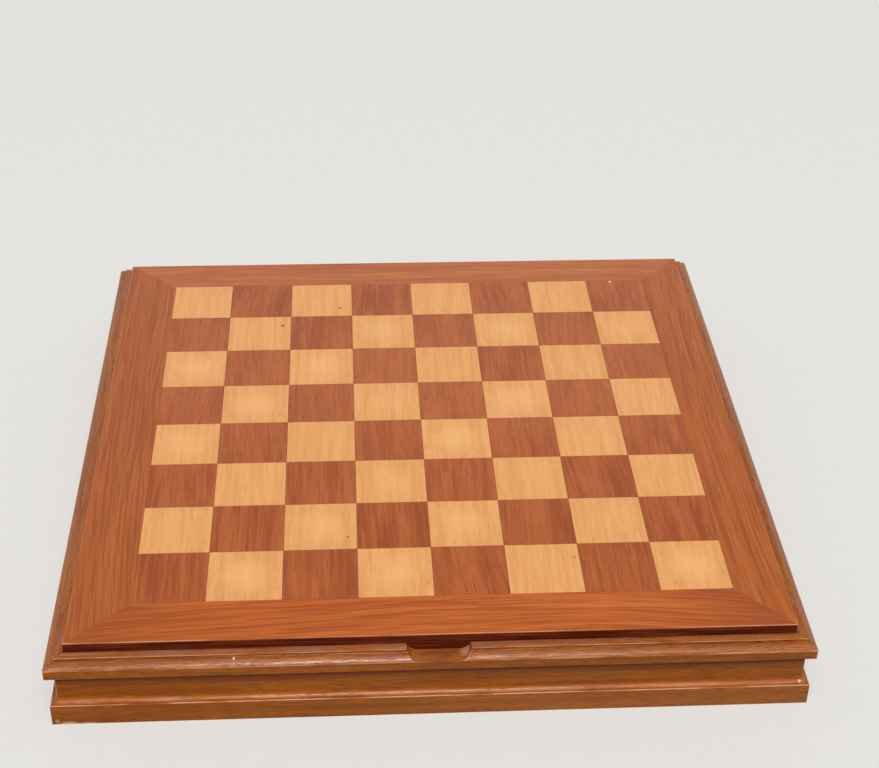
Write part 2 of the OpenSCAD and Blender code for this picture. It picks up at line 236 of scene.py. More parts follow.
INSIDE_FLECK = colour(150, 100, 60)
PLY_PALE = colour(206, 168, 122)
PLY_DARK = colour(184, 140, 94)
PLY_ACROSS = colour(120, 78, 46)
FELT_DARK = colour(24, 84, 52)
FELT_PALE = colour(34, 102, 64)
FELT_FIBRE = colour(56, 132, 88)
BRASS_BRIGHT = colour(205, 165, 92)
BRASS_DULL = colour(140, 98, 46)
STEEL_BRIGHT = colour(190, 190, 186)
STEEL_DULL = colour(150, 150, 146)

# Growth line, ground and pale figure of each border veneer
BORDER_COLOURS = {
    "front": (colour(146, 60, 12), colour(186, 89, 22), colour(212, 113, 46)),
    "back": (colour(152, 74, 32), colour(180, 97, 42), colour(204, 118, 61)),
    "left": (colour(134, 60, 18), colour(172, 87, 30), colour(188, 101, 42)),
    "right": (colour(134, 60, 16), colour(174, 87, 28), colour(194, 105, 42)),
}

# ----------------------------------------------------------------- figure and wear
# How each varnished wood takes the light: roughness of its smooth and of its rough fibres, specular
# level, and depth of its relief
VARNISH = {
    "moulding": (0.22, 0.32, 0.22, 0.09 * MM),
    "border": (0.30, 0.42, 0.35, 0.02 * MM),
    "light_square": (0.32, 0.44, 0.4, 0.015 * MM),
    "dark_square": (0.30, 0.42, 0.4, 0.02 * MM),
    "lipping": (0.34, 0.46, 0.15, 0.03 * MM),
}

# A pattern is moved this far for each number of its piece, and a second one of the same kind once more
# by ELSEWHERE, so that no two show the same part of it
SEED_STEP = (0.37, 0.71, 0.13)
ELSEWHERE = (0.3, 0.2, 0.1)

# How far a square's pattern is moved at most, by the three random numbers of the square
SQUARES_APART = (3.0, 5.0, 7.0)

# Where the arch of a border's growth lines has its top, and how they curve before and after it, per
# metre; and how coarse they are in a border that runs this way
BORDER_ARCHES = {
    "front": (60 * MM, 0.17, 0.60),
    "back": (-80 * MM, 0.12, 0.08),
    "left": (40 * MM, 0.16, 0.10),
    "right": (-60 * MM, 0.30, 0.12),
}
BORDER_COARSE = {"x": 1.5, "y": 1.0}
NO_ARCH = (0.0, 0.0, 0.0)

# Waves for each metre, along and across the grain, by which growth lines drift and ripple, and of the
# soil on the light squares
DRIFT = (9.0, 22.0, 22.0)
RIPPLE = (45.0, 90.0, 90.0)
SOIL = (260.0, 160.0, 160.0)

# How far the growth lines of the border and of the dark squares wander
BORDER_WANDER = 5 * MM
DARK_WANDER = 7 * MM

# How far the grain of a square is turned at most, in radians
LIGHT_TILT = 0.05
DARK_TILT = 0.13

JOINT_LINE = 0.35 * MM
PLY_THICKNESS = 2.0 * MM

# Ranks in the middle of the board, where the dark wood has faded, from front to back, and over what
# distance the fading ends
FADED = (0 * MM, 100 * MM)
FADED_SOFT = 60 * MM

# The front border darkens towards its ends, to the tone of the sides
BORDER_FADE = (110 * MM, 205 * MM)

# How pale the rubbed edges of the mouldings are, at least and at most; the pale edges are partly painted
# highlights, most on the base
CAP_WEAR = (0.08, 0.60)
BASE_WEAR_AND_HIGHLIGHT = (0.30, 0.95)

# How pale the rubbed rim of each border is at most
BORDER_WEAR = {"front": 0.6, "back": 0.3, "left": 0.35, "right": 0.35}

# How much dust lies on a moulding that runs this way, with a painted sheen on what faces up, at least
# and at most
DUST_AND_SHEEN = {"x": (0.15, 0.48), "y": (0.05, 0.26)}

# What changes from left to right across the mouldings, as (from, to, amount before, amount after): how
# pale the plinth is, how much of its dust and painted sheen the land keeps, and how much rougher the
# varnish is
PALER = (-80 * MM, 60 * MM, 0.0, 0.22)
DUST_AND_SHEEN_KEPT = (-60 * MM, 200 * MM, 1.0, 0.5)
DULLER = (-180 * MM, -80 * MM, 0.12, 0.0)

# The same with the distance from a mitre: its dark joint, and how worn the edges beside it are
MITRE_JOINT = (0.15 * MM, 0.45 * MM, 1.0, 0.0)
MITRE_KNOCKED = (0.5 * MM, 9 * MM, 0.7, 0.0)
BORDER_KNOCKED = (1 * MM, 12 * MM, 0.8, 0.0)

# The same with the distance from the board: the painted shade on the land beside it
LAND_SHADE = (0.8 * MM, 2.2 * MM, 0.50, 0.0)

# Marks on the front mouldings and on a dark square: (centre and radii in mm, colour, greatest share)
FRONT_CAP_MARKS = (
    ((-114.8, -219.9, 45.5), (0.9, 1.2, 1.2), CRUMB, 1.0),
    ((-115.5, -223.3, 42.7), (3.5, 1.2, 0.5), SCRAPE, 0.8),
    # painted shade in the finger scoop's hollow, then a patch at its right end, partly dust and partly a
    # painted highlight
    ((2.7, -218.0, 42.0), (16.0, 12.0, 4.0), SCOOP_SHADE, 0.45),
    ((17.6, -216.0, 44.2), (5.0, 6.0, 3.6), SCOOP_DUST_AND_HIGHLIGHT, 0.8),
)
FRONT_BASE_MARKS = (
    ((216.3, -219.9, 15.2), (1.2, 1.4, 1.0), CRUMB, 1.0),
    ((-212.0, -222.7, 0.6), (7.0, 1.2, 1.9), MOULDING_CHIP, 0.75),
    ((-201.0, -222.7, 0.4), (6.0, 1.2, 1.4), MOULDING_CHIP, 0.5),
    ((-218.8, -222.7, 2.4), (1.8, 1.2, 2.4), MOULDING_CHIP, 0.4),
)
DARK_SQUARE_MARKS = (
    ((155.8, 178.3, 53.5), (1.3, 1.9, 2.0), CRUMB, 1.0),
)


# ------------------------------------------------------------------------- shaders
class Graph:
    """The node tree of a material or world, with one method for each kind of step that it is made of."""

    def __init__(self, owner):
        owner.use_nodes = True
        self.owner = owner
        self.tree = owner.node_tree
        self.tree.nodes.clear()

    def add(self, kind, *inputs, **settings):
        """A node whose first inputs are numbers, colours or other nodes' outputs."""
        node = self.tree.nodes.new("ShaderNode" + kind)
        for name, value in settings.items():
            setattr(node, name, value)
        for socket, value in zip([s for s in node.inputs if s.enabled], inputs):
            self.put(socket, value)
        return node

    def put(self, socket, value):
        if isinstance(value, bpy.types.NodeSocket):
            self.tree.links.new(value, socket)
        else:
            socket.default_value = value

    def math(self, operation, *values):
        return self.add("Math", *values, operation=operation).outputs[0]

    def vector(self, operation, *values):
        return self.add("VectorMath", *values, operation=operation).outputs[0]

    def length(self, place):
        return self.add("VectorMath", place, operation="LENGTH").outputs["Value"]

    def scaled(self, place, factors):
        return self.vector("MULTIPLY", place, factors)

    def parts(self, place):
        return self.add("SeparateXYZ", place).outputs

    def joined(self, x, y, z):
        return self.add("CombineXYZ", x, y, z).outputs[0]

    def noise(self, place, detail=2.0, distortion=0.0):
        node = self.add("TexNoise", place)
        node.inputs["Scale"].default_value = 1.0
        node.inputs["Detail"].default_value = detail
        node.inputs["Distortion"].default_value = distortion
        return node.outputs[0]

    def step(self, value, low, high, start=0.0, end=1.0):
        """start below low, end above high, smooth between."""
        node = self.add("MapRange", value, low, high, start, end, interpolation_type="SMOOTHSTEP")
        return node.outputs[0]

    def mix(self, factor, first, second):
        node = self.add("Mix", factor, first, second, data_type="RGBA")
        return [s for s in node.outputs if s.enabled][0]

    def finish(self, colour, roughness, height, depth, **constants):
        """Closes a material's tree with the surface shader, whose other sockets take the constants."""
        surface = self.add("BsdfPrincipled")
        self.put(surface.inputs["Base Color"], colour)
        self.put(surface.inputs["Roughness"], roughness)
        for name, value in constants.items():
            surface.inputs[name.replace("_", " ")].default_value = value
        bump = self.add("Bump")
        bump.inputs["Distance"].default_value = depth
        self.put(bump.inputs["Height"], height)
        self.put(surface.inputs["Normal"], bump.outputs[0])
        output = self.add("OutputMaterial")
        self.put(output.inputs["Surface"], surface.outputs[0])
        return self.owner


# In the materials, streaks() and clouds() give noise with a middle of 0.5, and the limits that step() is
# given say from which value of it a figure begins to show and from which it shows in full
def material_graph(name):
    return Graph(bpy.data.materials.new(name))


def object_place(graph):
    return graph.add("TexCoord").outputs["Object"]


def own_part(seed):
    """How far the pattern of the piece with this number is moved."""
    return tuple(step * seed for step in SEED_STEP)


def grain_place(graph, along, seed):
    """Coordinates with x along the grain, moved to a part of the pattern that is this piece's own."""
    turn = 0.0 if along == "x" else -math.pi / 2
    node = graph.add("Mapping")
    graph.put(node.inputs["Vector"], object_place(graph))
    node.inputs["Rotation"].default_value = (0.0, 0.0, turn)
    node.inputs["Location"].default_value = own_part(seed)
    return node.outputs[0]


def streaks(graph, place, length, width, detail=2.0):
    """Noise drawn out along x: streaks about this long and wide, in metres."""
    return graph.noise(graph.scaled(place, (1 / length, 1 / width, 1 / width)), detail)


def clouds(graph, place, per_metre, detail=2.0, distortion=0.0):
    """Noise alike in all directions, with about this many clouds in a metre."""
    return graph.noise(graph.scaled(place, (per_metre, per_metre, per_metre)), detail, distortion)


def worn(graph):
    """1 on the eased edges, 0 elsewhere."""
    return graph.add("Attribute", attribute_name="wear").outputs["Fac"]


def blend_of(graph, first, second, share):
    """first and second added, with share of the first."""
    rest = graph.math("MULTIPLY", second, 1 - share)
    return graph.math("ADD", graph.math("MULTIPLY", first, share), rest)


def band(graph, value, low, high, soft):
    """1 between low and high, falling to 0 over soft on both sides."""
    above = graph.step(value, low - soft, low)
    below = graph.step(value, high, high + soft, 1.0, 0.0)
    return graph.math("MULTIPLY", above, below)


def arched(graph, place, arch, wander):
    """Coordinates that follow growth lines: bent to an arch along x, and wandering a little."""
    top, before, after = arch
    x, y, z = graph.parts(place)
    from_top = graph.math("SUBTRACT", x, top)
    left = graph.math("POWER", graph.math("MINIMUM", from_top, 0.0), 2.0)
    right = graph.math("POWER", graph.math("MAXIMUM", from_top, 0.0), 2.0)
    right = graph.math("MULTIPLY", right, after)
    bend = graph.math("ADD", graph.math("MULTIPLY", left, before), right)
    drift = graph.noise(graph.scaled(place, DRIFT), detail=1.0)
    ripple = graph.noise(graph.scaled(place, RIPPLE), detail=1.0)
    ripple = graph.math("MULTIPLY", ripple, wander / 5)
    sway = graph.math("ADD", graph.math("MULTIPLY", drift, wander), ripple)
    return graph.joined(x, graph.math("ADD", graph.math("ADD", y, bend), sway), z)


def from_mitre(graph):
    """Distance from the upright planes in which the mouldings meet, in metres."""
    x, y = graph.parts(graph.vector("ABSOLUTE", object_place(graph)))[:2]
    apart = graph.math("SUBTRACT", graph.math("SUBTRACT", x, y), BOARD_HALF_X - BOARD_HALF_Y)
    return graph.math("ABSOLUTE", apart)


def from_board(graph):
    """Distance outside the upright faces of the board, in metres."""
    x, y = graph.parts(graph.vector("ABSOLUTE", object_place(graph)))[:2]
    beside = graph.math("SUBTRACT", x, BOARD_HALF_X)
    return graph.math("MAXIMUM", beside, graph.math("SUBTRACT", y, BOARD_HALF_Y))


def at(graph, base, mask, share, paint):
    """base with share of the paint where the mask is 1."""
    return graph.mix(graph.math("MULTIPLY", mask, share), base, paint)


def marks(graph, base, spots):
    """base with small round marks on it."""
    place = object_place(graph)
    for centre, radii, paint, share in spots:
        away = graph.vector("SUBTRACT", place, tuple(part * MM for part in centre))
        far = graph.length(graph.scaled(away, tuple(1 / (part * MM) for part in radii)))
        base = graph.mix(graph.step(far, 0.3, 1.0, share, 0.0), base, paint)
    return base


def fibre_roughness(graph, fibres, kind):
    """Roughness that follows the fibres of a varnished wood of this kind."""
    smooth, rough = VARNISH[kind][:2]
    return graph.step(fibres, 0.3, 0.7, smooth, rough)


def varnished(graph, base, kind, roughness, relief):
    """Closes the tree of a varnished wood of this kind."""
    specular, depth = VARNISH[kind][2:]
    return graph.finish(base, roughness, relief, depth, Specular_IOR_Level=specular)


def moulding_grain(graph, place, height):
    """(wood, fibres, pores) of a moulding, whose grain shows least on the base and most on the land."""
    figure = streaks(graph, place, 90 * MM, 4 * MM)
    fibres = streaks(graph, place, 12 * MM, 0.8 * MM, detail=3.0)
    lines = graph.step(streaks(graph, place, 40 * MM, 0.8 * MM), 0.50, 0.66)
    pores = graph.step(streaks(graph, place, 5 * MM, 0.55 * MM, detail=1.0), 0.54, 0.68)
    elsewhere = graph.vector("ADD", place, ELSEWHERE)
    flecks = graph.step(streaks(graph, elsewhere, 7 * MM, 0.6 * MM), 0.56, 0.70)
    on_cap = graph.step(height, *TO_CAP, 0.0, 0.5)
    on_round = graph.step(height, *TO_ROUND, 0.0, 0.5)
    shows = graph.math("ADD", on_cap, on_round)
    tone = graph.step(blend_of(graph, figure, fibres, 0.5), 0.38, 0.62)
    base = graph.mix(tone, MOULDING_DARK, MOULDING_PALE)
    on_plinth = graph.step(height, *ABOVE_PLINTH, 1.0, 0.0)
    paler = graph.step(graph.parts(object_place(graph))["X"], *PALER)
    base = at(graph, base, on_plinth, paler, MOULDING_FLECK)
    base = at(graph, base, flecks, graph.step(shows, 0.0, 1.0, 0.15, 0.45), MOULDING_FLECK)
    base = at(graph, base, lines, graph.step(shows, 0.0, 1.0, 0.10, 0.32), MOULDING_PORE)
    base = at(graph, base, pores, graph.step(shows, 0.0, 1.0, 0.34, 0.58), MOULDING_PORE)
    return base, fibres, pores


def land_dust_and_sheen(graph, base, height, patches, dust_and_sheen_share):
    """base with dust and a painted sheen on what faces up, most of it on the land."""
    facing_up = graph.parts(graph.add("TexCoord").outputs["Normal"])["Z"]
    on_land = graph.step(height, STEP_FOOT, CAP_TOP, 0.12, 1.0)
    lying = graph.math("MULTIPLY", graph.step(facing_up, 0.6, 0.9), on_land)
    kept = graph.step(graph.parts(object_place(graph))["X"], *DUST_AND_SHEEN_KEPT)
    # the pale tint is partly dust and partly a painted sheen on faces that look up
    dust = graph.step(patches, 0.35, 0.65, *dust_and_sheen_share)
    return at(graph, base, graph.math("MULTIPLY", lying, kept), dust, MOULDING_DUST_AND_SHEEN)


def plinth_shade_and_highlight(graph, base, height, patches, outside):
    """base with a painted shade line in the crease on the flat of the plinth, and before it the pale
    line of its edge, partly wear and partly a painted highlight.
    """
    on_flat = band(graph, height, *FLAT, FLAT_SOFT)
    # painted shade in the crease behind the flat
    behind = graph.math("MULTIPLY", on_flat, graph.step(outside, *FLAT_SHADE, 1.0, 0.0))
    base = at(graph, base, behind, 0.35, MOULDING_JOINT_AND_SHADE)
    # the pale edge before it is partly wear and partly a painted highlight
    before = graph.math("MULTIPLY", on_flat, graph.step(outside, *FLAT_WORN_AND_HIGHLIGHT))
    return at(graph, base, before, graph.step(patches, 0.36, 0.56, 0.1, 1.0), MOULDING_WORN_AND_HIGHLIGHT)


def moulding_soil_and_painted_light(graph, base, height, patches, dust_and_sheen_share):
    """base with dust and a painted sheen on what faces up, rounds rubbed pale and painted with
    highlights, and painted shade in the creases, beside the board and under the cap.
    """
    outside = from_board(graph)
    base = land_dust_and_sheen(graph, base, height, patches, dust_and_sheen_share)
    # pale bands on the ovolo and the cove: partly rubbed wood, partly painted highlights
    ovolo = band(graph, height, *OVOLO, SOFT)
    base = at(graph, base, ovolo, graph.step(patches, 0.38, 0.62, 0.0, 0.20), MOULDING_RUBBED_AND_HIGHLIGHT)
    cove = band(graph, height, *COVE, SOFT)
    base = at(graph, base, cove, graph.step(patches, 0.38, 0.62, 0.0, 0.35), MOULDING_RUBBED_AND_HIGHLIGHT)
    base = plinth_shade_and_highlight(graph, base, height, patches, outside)
    # painted shade on the land beside the board
    land = graph.step(height, *TO_LAND)
    base = at(graph, base, land, graph.step(outside, *LAND_SHADE), MOULDING_JOINT_AND_SHADE)
    # painted shade in the crease at the foot of the cap's step
    step_foot = band(graph, height, *STEP, SOFT)
    base = at(graph, base, step_foot, graph.step(patches, 0.3, 0.6, 0.15, 0.42), MOULDING_JOINT_AND_SHADE)
    # painted shade in the hollow under the cap's overhang
    shade = graph.step(height, *TO_HOLLOW)
    below = graph.step(height, *TO_UNDERSIDE, 1.0, 0.0)
    return at(graph, base, graph.math("MULTIPLY", shade, below), 0.55, MOULDING_SHADE)


def moulding_wood(name, along, seed, wear, spots=()):
    """Open-pored wood with dust and a painted sheen on the land, painted shade in the corners, and
    rounds and edges rubbed pale, partly painted highlights.
    """
    graph = material_graph(name)
    place = grain_place(graph, along, seed)
    across, _, height = graph.parts(object_place(graph))
    patches = streaks(graph, place, 26 * MM, 3 * MM, detail=3.0)
    base, fibres, pores = moulding_grain(graph, place, height)
    base = moulding_soil_and_painted_light(graph, base, height, patches, DUST_AND_SHEEN[along])
    mitre = from_mitre(graph)
    base = at(graph, base, graph.step(mitre, *MITRE_JOINT), 0.45, MOULDING_JOINT_AND_SHADE)
    knocked = graph.step(mitre, *MITRE_KNOCKED)
    # the pale eased edges are partly wear and partly painted highlights
    edge_wear_and_highlight = graph.math("MAXIMUM", graph.step(patches, 0.36, 0.58, *wear), knocked)
    base = at(graph, base, worn(graph), edge_wear_and_highlight, MOULDING_WORN_AND_HIGHLIGHT)
    base = marks(graph, base, spots)
    duller = graph.step(across, *DULLER)
    roughness = graph.math("ADD", fibre_roughness(graph, fibres, "moulding"), duller)
    planed = streaks(graph, place, 5 * MM, 60 * MM, detail=1.0)
    hollows = graph.math("MULTIPLY", pores, 0.5)
    relief = graph.math("SUBTRACT", blend_of(graph, fibres, planed, 0.4), hollows)
    return varnished(graph, base, "moulding", roughness, relief)


def border_wood(name, side, seed):
    """Veneer with a gently arched figure of fine growth lines."""
    graph = material_graph(name)
    along = ALONG[side]
    coarse = BORDER_COARSE[along]
    line, ground, pale = BORDER_COLOURS[side]
    place = grain_place(graph, along, 0)
    flow = arched(graph, place, BORDER_ARCHES[side], BORDER_WANDER)
    flow = graph.vector("ADD", flow, own_part(seed))
    lines = graph.step(streaks(graph, flow, 60 * MM, 1.0 * coarse * MM, detail=1.0), 0.48, 0.64)
    figure = streaks(graph, flow, 200 * MM, 8 * MM)
    fibres = streaks(graph, flow, 32 * MM, 0.55 * coarse * MM, detail=3.0)
    tone = graph.step(blend_of(graph, figure, fibres, 0.45), 0.36, 0.64)
    base = graph.mix(tone, ground, pale)
    if side == "front":
        from_middle = graph.math("ABSOLUTE", graph.parts(place)["X"])
        base = at(graph, base, graph.step(from_middle, *BORDER_FADE), 0.75, BORDER_END)
    base = at(graph, base, lines, 0.54, line)
    base = at(graph, base, graph.step(fibres, 0.48, 0.66), 0.66, line)
    rubbed = graph.step(streaks(graph, place, 70 * MM, 70 * MM, detail=4.0), 0.40, 0.62)
    rubbed = graph.step(rubbed, 0.0, 1.0, 0.1, BORDER_WEAR[side])
    rubbed = graph.math("MAXIMUM", rubbed, graph.step(from_mitre(graph), *BORDER_KNOCKED))
    base = at(graph, base, worn(graph), rubbed, BORDER_WORN)
    return varnished(graph, base, "border", fibre_roughness(graph, fibres, "border"), fibres)


def cell_place(graph):
    """(place in the square from -0.5 to 0.5, three random numbers of that square)."""
    from_corner = graph.vector("SUBTRACT", object_place(graph), tuple(FIELD_CORNER))
    squares = graph.scaled(from_corner, (1 / SQUARE, 1 / SQUARE, 0.0))
    cell = graph.vector("FLOOR", squares)
    local = graph.vector("SUBTRACT", graph.vector("SUBTRACT", squares, cell), (0.5, 0.5, 0.0))
    chance = graph.add("TexWhiteNoise", cell, noise_dimensions="3D").outputs["Color"]
    return local, chance


def cell_grain(graph, local, chance, tilt):
    """Grain coordinates of one square, x along its grain, turned by up to tilt radians."""
    lean = graph.math("POWER", graph.math("SUBTRACT", graph.parts(chance)[0], 0.5), 3.0)
    turned = graph.add("VectorRotate", rotation_type="Z_AXIS")
    graph.put(turned.inputs["Vector"], local)
    graph.put(turned.inputs["Angle"], graph.math("MULTIPLY", lean, 8 * tilt))
    x, y, z = graph.parts(graph.scaled(turned.outputs[0], (SQUARE, SQUARE, SQUARE)))
    return graph.vector("ADD", graph.joined(y, x, z), graph.scaled(chance, SQUARES_APART))


def joint_line(graph, local):
    """1 in the hairline at the edge of a square, 0 inside."""
    x, y = graph.parts(graph.vector("ABSOLUTE", local))[:2]
    return graph.step(graph.math("MAXIMUM", x, y), 0.5 - JOINT_LINE / SQUARE, 0.5)


def specks(graph, base):
    """base with the small dark knots of the board on it."""
    place = object_place(graph)
    for x, y, half_width, half_length, depth in SPECKS:
        away = graph.vector("SUBTRACT", place, (x * MM, y * MM, BOARD_TOP))
        far = graph.length(graph.scaled(away, (1 / (half_width * MM), 1 / (half_length * MM), 0.0)))
        base = graph.mix(graph.step(far, 0.2, 1.0, depth, 0.0), base, SPECK)
    return base


def light_square_wood():
    """Pale wood with short dashes, palest in the middle of a square and soiled towards its edges."""
    graph = material_graph("light_square_wood")
    local, chance = cell_place(graph)
    place = cell_grain(graph, local, chance, LIGHT_TILT)
    figure = streaks(graph, place, 70 * MM, 4 * MM)
    fibres = streaks(graph, place, 14 * MM, 0.6 * MM, detail=3.0)
    tone = graph.step(blend_of(graph, figure, fibres, 0.55), 0.36, 0.64)
    base = graph.mix(tone, LIGHT_DARK, LIGHT_PALE)
    dashes = graph.step(streaks(graph, place, 12 * MM, 0.7 * MM, detail=1.0), 0.58, 0.74)
    base = at(graph, base, dashes, 0.40, LIGHT_DASH)
    uneven = graph.math("SUBTRACT", clouds(graph, place, 70.0), 0.5)
    far = graph.math("ADD", graph.length(local), graph.math("MULTIPLY", uneven, 0.35))
    brightest = graph.step(graph.parts(chance)[1], 0.35, 0.95, 0.05, 0.60)
    base = at(graph, base, graph.step(far, 0.05, 0.46, 1.0, 0.0), brightest, LIGHT_MIDDLE)
    soil = graph.step(graph.noise(graph.scaled(place, SOIL), detail=3.0), 0.50, 0.72)
    rim = graph.step(graph.step(far, 0.30, 0.62), 0.0, 1.0, 0.06, 0.30)
    base = at(graph, base, soil, rim, LIGHT_SOILED)
    base = specks(graph, base)
    base = at(graph, base, joint_line(graph, local), 0.5, JOINT)
    return varnished(graph, base, "light_square", fibre_roughness(graph, fibres, "light_square"), fibres)


def dark_square_wood():
    """Striped wood with dark pores, each square faded in its own measure in the middle of the board."""
    graph = material_graph("dark_square_wood")
    local, chance = cell_place(graph)
    place = cell_grain(graph, local, chance, DARK_TILT)
    place = arched(graph, place, NO_ARCH, DARK_WANDER)
    stripes = streaks(graph, place, 60 * MM, 2.2 * MM)
    broad = streaks(graph, place, 70 * MM, 12 * MM)
    fibres = streaks(graph, place, 14 * MM, 0.6 * MM, detail=3.0)
    elsewhere = graph.vector("ADD", place, ELSEWHERE)
    pores = graph.step(streaks(graph, elsewhere, 14 * MM, 1.0 * MM), 0.56, 0.72)
    tone = blend_of(graph, stripes, broad, 0.5)
    base = graph.mix(graph.step(tone, 0.36, 0.66), DARK_PALE, DARK_STRIPE)
    faded = band(graph, graph.parts(object_place(graph))["Y"], *FADED, FADED_SOFT)
    base = at(graph, base, faded, graph.step(graph.parts(chance)[2], 0.0, 1.0, 0.1, 0.4), DARK_FADED)
    base = at(graph, base, graph.step(fibres, 0.46, 0.70), 0.30, DARK_FIBRE)
    base = at(graph, base, pores, 0.45, DARK_FIBRE)
    base = at(graph, base, joint_line(graph, local), 0.6, JOINT)
    base = marks(graph, base, DARK_SQUARE_MARKS)
    return varnished(graph, base, "dark_square", fibre_roughness(graph, fibres, "dark_square"), fibres)


def lipping_wood(name, along, seed):
    """Nearly black wood, also that of the veneer under the board."""
    graph = material_graph(name)
    fibres = streaks(graph, grain_place(graph, along, seed), 40 * MM, 1.1 * MM, detail=3.0)
    base = graph.mix(graph.step(fibres, 0.4, 0.7), LIPPING_DARK, LIPPING_PALE)
    return varnished(graph, base, "lipping", fibre_roughness(graph, fibres, "lipping"), fibres)


def bare_wood(name, along, seed):
    """Pale planed wood without varnish, as inside the box."""
    graph = material_graph(name)
    place = grain_place(graph, along, seed)
    figure = streaks(graph, place, 150 * MM, 8 * MM)
    fibres = streaks(graph, place, 20 * MM, 0.6 * MM, detail=3.0)
    flecks = graph.step(streaks(graph, place, 3 * MM, 0.4 * MM), 0.64, 0.72)
    base = graph.mix(graph.step(figure, 0.3, 0.7), INSIDE_DARK, INSIDE_PALE)
    base = graph.mix(graph.step(fibres, 0.4, 0.7, 0.0, 0.5), base, INSIDE_FIBRE)
    base = at(graph, base, flecks, 0.4, INSIDE_FLECK)
    return graph.finish(base, 0.7, fibres, 0.04 * MM)


def plywood(name, along, seed):
    """Plywood, whose edges show every other ply dark."""
    graph = material_graph(name)
    fibres = streaks(graph, grain_place(graph, along, seed), 40 * MM, 1.2 * MM, detail=3.0)
    height = graph.parts(object_place(graph))["Z"]
    ply = graph.math("FRACT", graph.math("DIVIDE", height, PLY_THICKNESS))
    base = graph.mix(graph.step(fibres, 0.35, 0.7), PLY_PALE, PLY_DARK)
    base = graph.mix(graph.step(ply, 0.45, 0.55, 0.0, 0.35), base, PLY_ACROSS)
    return graph.finish(base, 0.75, fibres, 0.04 * MM)


def felt(name):
    """Green baize, with fine fibres over a soft nap."""
    graph = material_graph(name)
    place = object_place(graph)
    fibres = clouds(graph, place, 1800.0, detail=3.0, distortion=1.5)
    nap = clouds(graph, place, 60.0)
    base = graph.mix(graph.step(nap, 0.35, 0.65), FELT_DARK, FELT_PALE)
    base = graph.mix(graph.step(fibres, 0.4, 0.7, 0.0, 0.6), base, FELT_FIBRE)
    return graph.finish(base, 0.95, fibres, 0.2 * MM, Sheen_Weight=0.4)


def metal(name, bright, dull, roughness):
    """Metal that is bright in some places, and duller and rougher in others."""
    graph = material_graph(name)
    patches = clouds(graph, object_place(graph), 400.0, detail=3.0)
    base = graph.mix(graph.step(patches, 0.4, 0.65), bright, dull)
    rough = graph.step(patches, 0.35, 0.7, roughness, roughness + 0.2)
    return graph.finish(base, rough, patches, 0.02 * MM, Metallic=1.0)


# -------------------------------------------------------------------------- pieces
SLOTS = {part["node"]: part["material_slot"] for part in frame["record"]["subparts"]}


def off_mitre(place):
    """How far a place is from the planes through the corners of the box, measured along a side."""
    return abs(abs(place.x) - abs(place.y) - BOARD_HALF_X + BOARD_HALF_Y)


def on_mitre(place):
    """True in the upright planes through the corners of the box."""
    return off_mitre(place) < MITRE_SLACK


def on_rim(place):
    """True on the upright faces round the board."""
    return abs(place.x) > BOARD_HALF_X - MITRE_SLACK or abs(place.y) > BOARD_HALF_Y - MITRE_SLACK


def all_edges(edge):
    return 1.0


def rim_edges(edge):
    """A veneer is eased only where it ends at the rim of the board."""
    outside = all(on_rim(vert.co) for vert in edge.verts)
    across = any(abs(face.normal.z) > 0.5 for face in edge.link_faces)
    return 1.0 if outside and across else 0.0


def scoop_edges(edge):
    """The many short edges round the finger scoop are eased less than the long ones."""
    return SCOOP_EASE if all(SCOOP[0] < vert.co.x < SCOOP[1] for vert in edge.verts) else 1.0


def upright(edge):
    """True for an edge that runs straight up."""
    start, end = (vert.co for vert in edge.verts)
    return (end - start).xy.length < MITRE_SLACK


def way_of(edge):
    """The direction of an edge, as a vector of length 1."""
    return (edge.verts[1].co - edge.verts[0].co).normalized()


def room_beside(edge):
    """The length of the shortest edge that meets this one at an angle."""
    others = [other for vert in edge.verts for other in vert.link_edges if other is not edge]
    turning = [other for other in others if abs(way_of(edge).dot(way_of(other))) < STRAIGHT_ON]
    return min((other.calc_length() for other in turning), default=edge.calc_length())


def ease_edges(mesh, width, mitre_width, share):
    """Marks how far each sharp edge is to be eased, as a share of the widest easing."""
    work = bmesh.new()
    work.from_mesh(mesh)
    bmesh.ops.remove_doubles(work, verts=work.verts, dist=WELD)
    bmesh.ops.dissolve_limit(work, angle_limit=FLAT_ANGLE, verts=work.verts, edges=work.edges)
    weight = work.edges.layers.float.new("bevel_weight_edge")
    for edge in work.edges:
        if edge.is_convex and edge.calc_face_angle() > SHARP_ANGLE:
            eased = width
            if all(on_mitre(vert.co) for vert in edge.verts):
                eased = CORNER_WIDTH if upright(edge) and mitre_width < width else mitre_width
            edge[weight] = share(edge) * min(eased, ROOM_SHARE * room_beside(edge)) / CORNER_WIDTH
    work.to_mesh(mesh)
    work.free()


def mark_wear(mesh):
    """Stores 1 on the eased faces that hands reach, and 0 on the others and along the mitres."""
    wear = mesh.attributes.new("wear", "FLOAT", "FACE")
    for face in mesh.polygons:
        near_mitre = off_mitre(face.center) < MITRE_WEAR_SLACK
        wear.data[face.index].value = 1.0 if face.material_index and not near_mitre else 0.0
        face.material_index = 0


